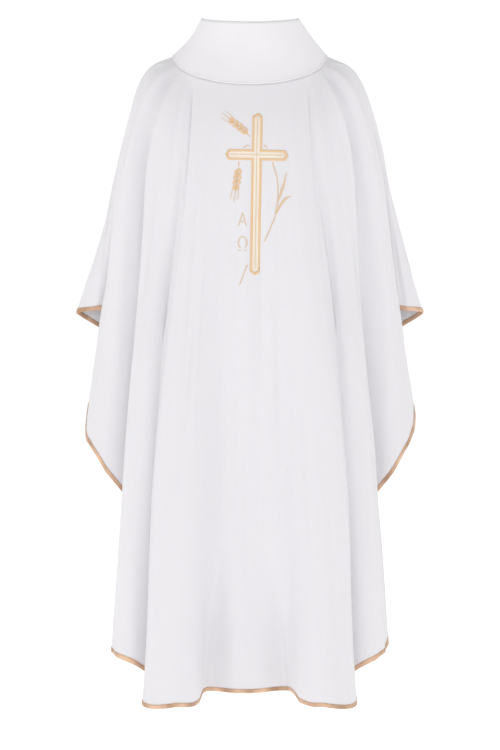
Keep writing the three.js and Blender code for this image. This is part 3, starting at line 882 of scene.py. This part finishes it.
def fine_line(points, smooth, step=1.2):
    """Points of [across, up, width] filled in to small steps, on a smooth curve or straight."""
    path = np.asarray(points, float)
    if smooth and len(path) > 2:
        path = smooth_through(path, 24)
    run = run_of(path[:, :2])
    at = np.linspace(0, run[-1], max(int(run[-1] / step), 3) + 1)
    return read_at(at, run, path), at


def thread_rings(line, height, tilt, lift):
    """Rings round a run of thread that lies on the cloth, domed above and nearly flat below."""
    ways = unit(np.gradient(line[:, :2], axis=0))
    turns = [2 * math.pi * t / THREAD_SIDES for t in range(THREAD_SIDES)]
    rings = []
    for (x, y, width), (way_x, way_y) in zip(line, ways):
        ring = []
        for turn in turns:
            s = math.cos(turn) * width / 2
            point, out = on_chest(*placed(x - way_y * s, y + way_x * s, tilt))
            swell = math.sin(turn) * (height if math.sin(turn) > 0 else SINK)
            ring.append(point + out * (lift + LAID + swell))
        rings.append(ring)
    rings = np.array(rings)
    for end in (0, -1):
        rings[end] = rings[end].mean(axis=0)
    return rings


def laid_thread(bm, points, height, tilt=0.0, lift=0.0, smooth=True):
    """Adds a plump run of satin stitch along a line, lying on the cloth."""
    line, at = fine_line(points, smooth)
    rings = thread_rings(line, height, tilt, lift)
    rings = np.concatenate([rings, rings[:, :1]], axis=1)
    around = np.linspace(0, 0.004, THREAD_SIDES + 1)
    made = sheet_mesh(rings, np.stack(np.meshgrid(around, at * MM), axis=2)[:, :, ::-1])
    bmesh.ops.remove_doubles(made, verts=made.verts, dist=2e-6)
    bmesh.ops.holes_fill(made, edges=[e for e in made.edges if e.is_boundary], sides=0)
    bmesh.ops.recalc_face_normals(made, faces=made.faces)
    mesh = bpy.data.meshes.new("run")
    made.to_mesh(mesh)
    made.free()
    bm.from_mesh(mesh)
    bpy.data.meshes.remove(mesh)


def thread_piece(name, node, runs, material, height, **how):
    """An embroidered piece made of several runs of gold thread."""
    bm = bmesh.new()
    bm.loops.layers.uv.new("Pattern")
    for run in runs:
        laid_thread(bm, run, height, **how)
    piece = new_piece(name, bm, material)
    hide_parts(node)


def with_width(points, width):
    """A line of thread with one width all along."""
    return [(x, y, width) for x, y in points]


def cross_rim(inset, width):
    """The runs of a border round the cross, drawn in by an inset, that lap at the corners."""
    w = UPRIGHT_W / 2 - inset
    h = BAR_W / 2 - inset
    top = CROSS_UP - POINT - inset
    foot = -CROSS_DOWN + inset
    arm = CROSS_ARM - POINT - inset
    rim = [
        (w, h), (arm, h), (arm + POINT, 0), (arm, -h), (w, -h), (w, foot), (0, foot - POINT),
        (-w, foot), (-w, -h), (-arm, -h), (-arm - POINT, 0), (-arm, h), (-w, h), (-w, top),
        (w * 0.2, top + POINT), (w, top), (w, h),
    ]
    runs = []
    for (x0, y0), (x1, y1) in zip(rim, rim[1:]):
        length = math.hypot(x1 - x0, y1 - y0)
        ex = (x1 - x0) / length * width / 2
        ey = (y1 - y0) / length * width / 2
        start, end = (x0 - ex, y0 - ey, width * 0.5), (x1 + ex, y1 + ey, width * 0.5)
        runs.append([start, (x0, y0, width), (x1, y1, width), end])
    return runs


def cross_fill(name, inset, height):
    """The cream filling of the cross: close rows of stitches along each arm."""
    bm = bmesh.new()
    bm.loops.layers.uv.new("Pattern")
    w = UPRIGHT_W / 2 - inset
    h = BAR_W / 2 - inset
    how = {"tilt": CROSS_TILT, "smooth": False}
    for i in range(FILL_ROWS):
        off = (i + 0.5) / FILL_ROWS * 2 - 1
        reach = (1 - abs(off)) * POINT
        x, y = off * w, off * h
        foot = (x, -CROSS_DOWN + inset - reach * 0.8, w * 0.5)
        top = (x, CROSS_UP - inset - POINT + reach * 0.8, w * 0.5)
        laid_thread(bm, [foot, (x, 0, w * 0.56), top], height, **how)
        for side in (-1, 1):
            tip = (side * (CROSS_ARM - inset - POINT + reach), y, h * 0.5)
            laid_thread(bm, [(side * w * 0.9, y, h * 0.56), tip], height, **how)
    fill = new_piece(name, bm, cream_thread)
    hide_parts("cross_fill")


rim = cross_rim(BORDER_W / 2, BORDER_W)
thread_piece("cross_edging", "cross_border", rim, gold_thread, 1.0, tilt=CROSS_TILT, smooth=False)
cross_fill("cross_filling", BORDER_W - 0.4, 0.7)
centre = [
    with_width([(0, CROSS_UP - CENTRE_MARGIN), (0, -CROSS_DOWN + CENTRE_MARGIN)], CENTRE_W),
    with_width([(-CROSS_ARM + CENTRE_MARGIN, 0), (CROSS_ARM - CENTRE_MARGIN, 0)], CENTRE_W),
]
how = {"tilt": CROSS_TILT, "smooth": False, "lift": 0.75}
thread_piece("cross_centre_thread", "cross_centre_line", centre, pale_thread, 0.6, **how)


def ear(x, y, angle, length, awn):
    """Runs of an ear of wheat: grains down both sides, one at the tip, and three awns."""
    lean = math.radians(angle)
    up = np.array([-math.sin(lean), math.cos(lean)])
    side = np.array([math.cos(lean), math.sin(lean)])
    foot = np.array([x, y])

    def spot(a, b, w):
        p = foot + side * a + up * b
        return (p[0], p[1], w)

    runs = [[spot(0, 0, 1.6), spot(0, length * 0.9, 1.2)]]
    for i in range(4):
        base = (i + 0.02) / 4.4 * length
        swell = (0.75 + 0.25 * math.sin(math.pi * (i + 0.7) / 4)) * EAR_W
        for s in (-1, 1):
            shift = base + (1.5 if s > 0 else 0)
            runs.append([
                spot(s * 0.8, shift, 0.6),
                spot(s * 0.2 * swell, shift + length * 0.08, 5.0),
                spot(s * 0.34 * swell, shift + length * 0.17, 5.6),
                spot(s * 0.44 * swell, shift + length * 0.27, 0.5),
            ])
    runs.append([spot(0, length * 0.82, 0.6), spot(0, length * 0.92, 4.0), spot(0, length * 1.05, 0.5)])
    for splay, start, reach in ((0, 1.0, 1.0), (-0.3, 0.82, 0.7), (0.3, 0.82, 0.78)):
        out = splay * EAR_W
        runs.append([
            spot(out * 0.9, length * start, 0.9),
            spot(out * 1.5, length * start + awn * 0.5, 0.9),
            spot(out * 1.6, length + awn * reach, 0.5),
        ])
    return runs


thread_piece("ear_upper", "wheat_ear_upper", ear(-17, 41, 51, 46, 18), gold_thread, 1.1)
thread_piece("ear_lower", "wheat_ear_lower", ear(-34.5, -25, 172, 44, 22), gold_thread, 1.1)

# The lines of thread, as points across and up from the crossing.
STEMS = {
    "stem_ear_upper": [(-18, 39.5), (-12, 34.5)],
    "stem_ear_lower": [(-34, -12.5), (-34.2, -23.5)],
    "stem_arc_left": [(-26, 13.5), (-19, 17.5), (-12, 17)],
    "stem_arc_right": [(13.5, 19), (19, 12.6)],
    "stalk_right": [
        (29, -12.5), (33, -25), (38.6, -46), (40, -72), (39, -92), (35.6, -113), (29, -132), (14, -166),
    ],
    "stalk_foot": [(-18, -209), (-33, -248)],
}
for node, points in STEMS.items():
    thread_piece(node + "_thread", node, [with_width(points, STEM_W)], pale_thread, 0.8)

# The leaves, as points across, up and wide.
LEAVES = {
    "leaf_upper": [(40.2, -90, 1.4), (46.5, -70, 5), (52.5, -52, 4), (56.5, -34, 0.6)],
    "leaf_lower": [(36.6, -113, 1.4), (46, -94, 5), (55, -83.5, 4.6), (66, -78, 0.6)],
}
for node, points in LEAVES.items():
    thread_piece(node + "_thread", node, [points], pale_thread, 0.7)


def letter_a(x, y):
    """Two slanted strokes and a bar, standing on a point."""
    w = LETTER_W / 2
    bar = LETTER_H * 0.3 + 1
    lean = w / LETTER_H * bar
    peak = (x, y + LETTER_H - 0.6)
    return [
        with_width([(x - w + 0.9, y + 0.5), peak], 1.8),
        with_width([(x + w - 0.9, y + 0.5), peak], 1.8),
        with_width([(x - w + lean + 1, y + bar), (x + w - lean - 1, y + bar)], 1.6),
    ]


def letter_omega(x, y):
    """An open bow on two short feet, standing on a point."""
    bow = []
    for degrees in range(-60, 241, 15):
        turn = math.radians(180 - degrees)
        bow.append((x + LETTER_W * 0.46 * math.cos(turn), y + LETTER_H * (0.57 + 0.43 * math.sin(turn))))
    gap = LETTER_W * 0.16
    left = [(x - LETTER_W / 2, y + 1), (x - gap, y + 1)]
    right = [(x + gap, y + 1), (x + LETTER_W / 2, y + 1)]
    return [with_width(line, LETTER_STROKE) for line in (bow, left, right)]


thread_piece("letter_a_thread", "letter_alpha", letter_a(-27, -136.5), pale_thread, 0.7, smooth=False)
thread_piece("letter_omega_thread", "letter_omega", letter_omega(-27, -183), pale_thread, 0.7)

# ---------------------------------------------------------------- light and camera
SKY_BAND = 1.03  # brightness round the horizon
SKY_TOP = 0.6  # brightness overhead and below
LEFT_POWER = 7
RIGHT_POWER = 3
BOX_X, BOX_Y, BOX_Z = 2.9, -2.1, -0.3  # where the soft boxes stand, one each side
DISTANCE = 6.0  # from the camera to the garment
EYE = -0.621
VIEW_H = 1.4625  # height of the view at the garment
SENSOR_H = 24
FLOOR_Z = -1.5
FLOOR_RADIUS = 26


def studio_sky():
    """A white studio all round, bright at the horizon and softer overhead."""
    world = bpy.data.worlds.new("studio")
    bpy.context.scene.world = world
    world.use_nodes = True
    sky = world.node_tree
    background = sky.nodes["Background"]
    background.inputs["Color"].default_value = (1, 1, 1, 1)
    aim = sky.nodes.new("ShaderNodeTexCoord")
    split = sky.nodes.new("ShaderNodeSeparateXYZ")
    height = sky.nodes.new("ShaderNodeMath")
    height.operation = "ABSOLUTE"
    level = sky.nodes.new("ShaderNodeMapRange")
    for socket, value in (("From Min", 0.25), ("From Max", 0.75), ("To Min", SKY_BAND), ("To Max", SKY_TOP)):
        level.inputs[socket].default_value = value
    sky.links.new(aim.outputs["Generated"], split.inputs[0])
    sky.links.new(split.outputs["Z"], height.inputs[0])
    sky.links.new(height.outputs[0], level.inputs["Value"])
    sky.links.new(level.outputs[0], background.inputs["Strength"])
    bpy.context.scene.view_settings.view_transform = "Standard"


def soft_box(name, place, power):
    """A tall soft light turned to the middle of the garment."""
    lamp = bpy.data.lights.new(name, "AREA")
    lamp.shape = "RECTANGLE"
    lamp.size, lamp.size_y = 1.4, 2.4
    lamp.energy = power
    stand = bpy.data.objects.new(name, lamp)
    bpy.context.scene.collection.objects.link(stand)
    stand.location = place
    stand.rotation_euler = (Vector((0, 0, -0.6)) - Vector(place)).to_track_quat("-Z", "Y").to_euler()


def front_camera():
    """A level camera straight in front."""
    camera = bpy.data.cameras.new("camera")
    camera.sensor_fit = "VERTICAL"
    camera.sensor_height = SENSOR_H
    camera.lens = SENSOR_H * DISTANCE / VIEW_H
    view = bpy.data.objects.new("camera", camera)
    bpy.context.scene.collection.objects.link(view)
    view.location = (0, -DISTANCE, EYE)
    view.rotation_euler = (math.radians(90), 0, 0)
    bpy.context.scene.camera = view


def studio_floor():
    """A wide round floor of white paper, lit from within so that it stays white."""
    paper = felt_core("floor paper", (0.95, 0.95, 0.95))
    lit = paper.node_tree.nodes["Principled BSDF"]
    lit.inputs["Emission Color"].default_value = (1, 1, 1, 1)
    lit.inputs["Emission Strength"].default_value = 0.5
    bm = bmesh.new()
    bmesh.ops.create_circle(bm, cap_ends=True, segments=96, radius=FLOOR_RADIUS)
    bmesh.ops.translate(bm, verts=bm.verts, vec=(0, 0, FLOOR_Z))
    mesh = bpy.data.meshes.new("floor")
    bm.to_mesh(mesh)
    bm.free()
    mesh.materials.append(paper)
    floor = bpy.data.objects.new("studio floor", mesh)
    bpy.context.scene.collection.objects.link(floor)


studio_sky()
soft_box("left box", (-BOX_X, BOX_Y, BOX_Z), LEFT_POWER)
soft_box("right box", (BOX_X, BOX_Y, BOX_Z), RIGHT_POWER)
front_camera()
studio_floor()
